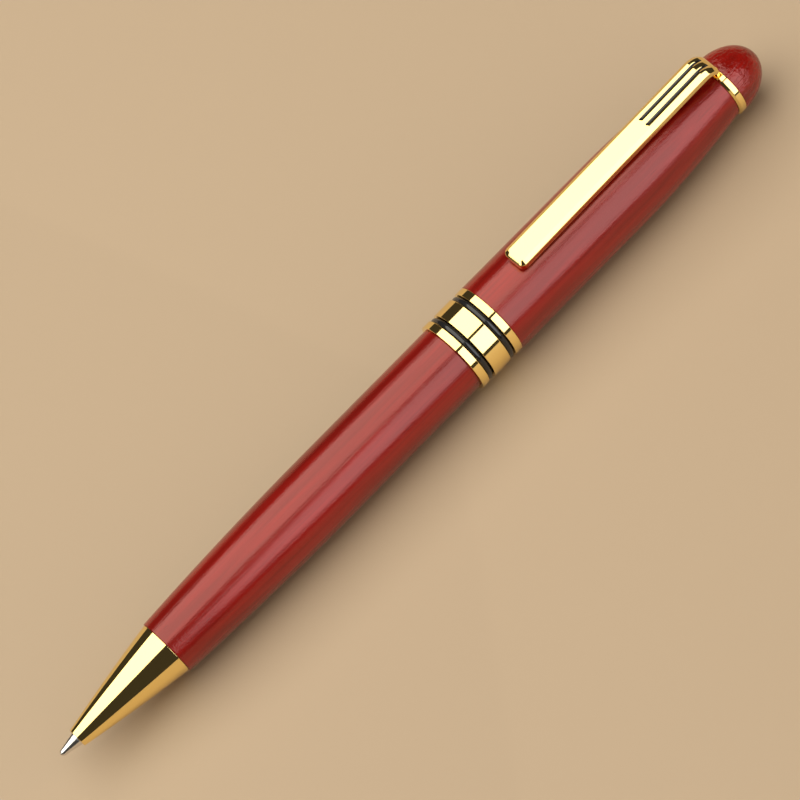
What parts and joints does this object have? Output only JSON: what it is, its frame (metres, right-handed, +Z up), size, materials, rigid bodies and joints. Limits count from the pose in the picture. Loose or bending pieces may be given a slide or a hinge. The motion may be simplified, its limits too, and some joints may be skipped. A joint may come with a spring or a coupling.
{
  "type": "ballpoint pen",
  "caption": "Slim twist-action ball pen with red wooden barrels, polished gold-coloured fittings, a ringed centre band and a long flat pocket clip.",
  "frame": {"origin": "on the floor under the middle of the pen, which lies level on its side with its tip out and its clip straight up", "axes": "+X from the writing point to the finial, +Z up, away from the floor and out through the clip, +Y completes a right-handed frame"},
  "size_m": [0.136, 0.0118, 0.0145],
  "materials": {
    "red_wood": "red-stained, satin-lacquered",
    "gold_plate": "polished gold-coloured plating",
    "black_gloss": "glossy",
    "turned_brass": "as turned",
    "tip_steel": "ground",
    "spring_steel": "drawn wire",
    "refill_steel": "satin",
    "white_plastic": "moulded",
    "ink": "thick ink"
  },
  "bodies": {
    "front_half": {"lower_barrel": "red_wood", "lower_bushing": "turned_brass", "lower_liner": "turned_brass", "front_trim_ring": "gold_plate", "front_black_ring": "black_gloss", "guide_tube": "turned_brass", "circlip": "spring_steel", "return_spring": "spring_steel"},
    "nose": {"nose_cone": "gold_plate"},
    "refill": {"refill_tube": "refill_steel", "refill_nose": "turned_brass", "writing_tip": "tip_steel", "ink_column": "ink", "refill_end_plug": "white_plastic", "carrier": "white_plastic", "carrier_pin": "tip_steel"},
    "ball": {"writing_ball": "tip_steel"},
    "rear_half": {"cam_sleeve": "turned_brass", "coupler": "turned_brass", "centre_sleeve": "gold_plate", "rear_black_ring": "black_gloss", "rear_trim_ring": "gold_plate", "upper_liner": "turned_brass", "upper_barrel": "red_wood", "top_bushing": "turned_brass", "finial_stud": "turned_brass", "clip_collar": "gold_plate", "finial": "red_wood"},
    "clip": {"clip": "gold_plate"}
  },
  "joints": [
    {"name": "barrel_twist", "type": "hinge", "parent": "front_half", "child": "rear_half", "pos_m": [0.00991, 0, 0.00586], "axis": [1, 0, 0], "range_deg": [0, 180]},
    {"name": "refill_slide", "type": "slide", "parent": "front_half", "child": "refill", "axis": [1, 0, 0], "range_m": [0, 0.0045], "deforming": ["return_spring"]},
    {"name": "ball_roll", "type": "hinge", "parent": "refill", "child": "ball", "pos_m": [-0.06765, 0, 0.00586], "axis": [0, 1, 0], "continuous": true},
    {"name": "nose_unscrew", "type": "slide", "parent": "front_half", "child": "nose", "axis": [-1, 0, 0], "range_m": [0, 0.008]},
    {"name": "clip_flex", "type": "hinge", "parent": "rear_half", "child": "clip", "pos_m": [0.06096, 0, 0.00936], "axis": [0, 1, 0], "range_deg": [0, 3], "stiffness_Nm_per_rad": 1.5, "springref_deg": -1.72}
  ],
  "couplings": [
    {"joint": "barrel_twist", "follows": "refill_slide", "rad_per_m": 698.13}
  ]
}
